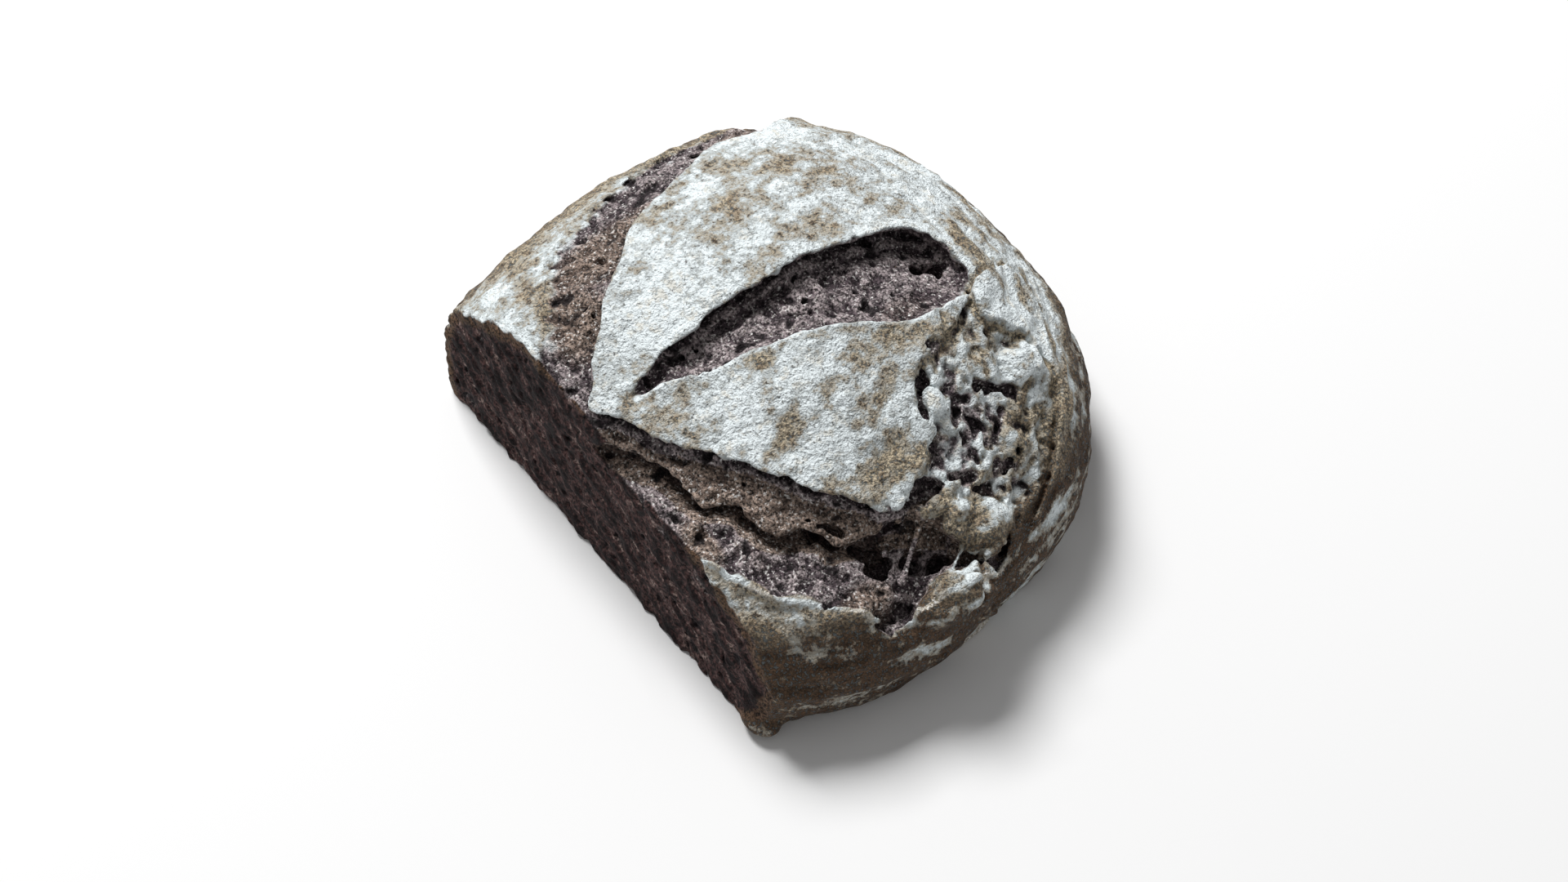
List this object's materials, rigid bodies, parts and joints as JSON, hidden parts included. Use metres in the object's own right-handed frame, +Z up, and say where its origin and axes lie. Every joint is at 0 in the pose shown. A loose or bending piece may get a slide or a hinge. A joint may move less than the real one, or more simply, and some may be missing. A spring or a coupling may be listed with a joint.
{
  "type": "sourdough loaf",
  "caption": "Round sourdough loaf with one end sliced off flat: floured, deeply scored crust over a dark, fine-pored crumb, resting on a flat foot.",
  "frame": {"origin": "centre of the loaf's bounding box in X and Y, at the level of its flat foot", "axes": "+Z up, -Y the way the sliced end faces, +X along that cut, to the right as one faces it"},
  "size_m": [0.2282, 0.195, 0.092],
  "materials": {
    "crust_and_crumb": "baked tan crust dusted with pale flour, dull purple-brown crumb in the openings and on the cut"
  },
  "bodies": {
    "root": {"sourdough_loaf": "crust_and_crumb"}
  },
  "joints": []
}
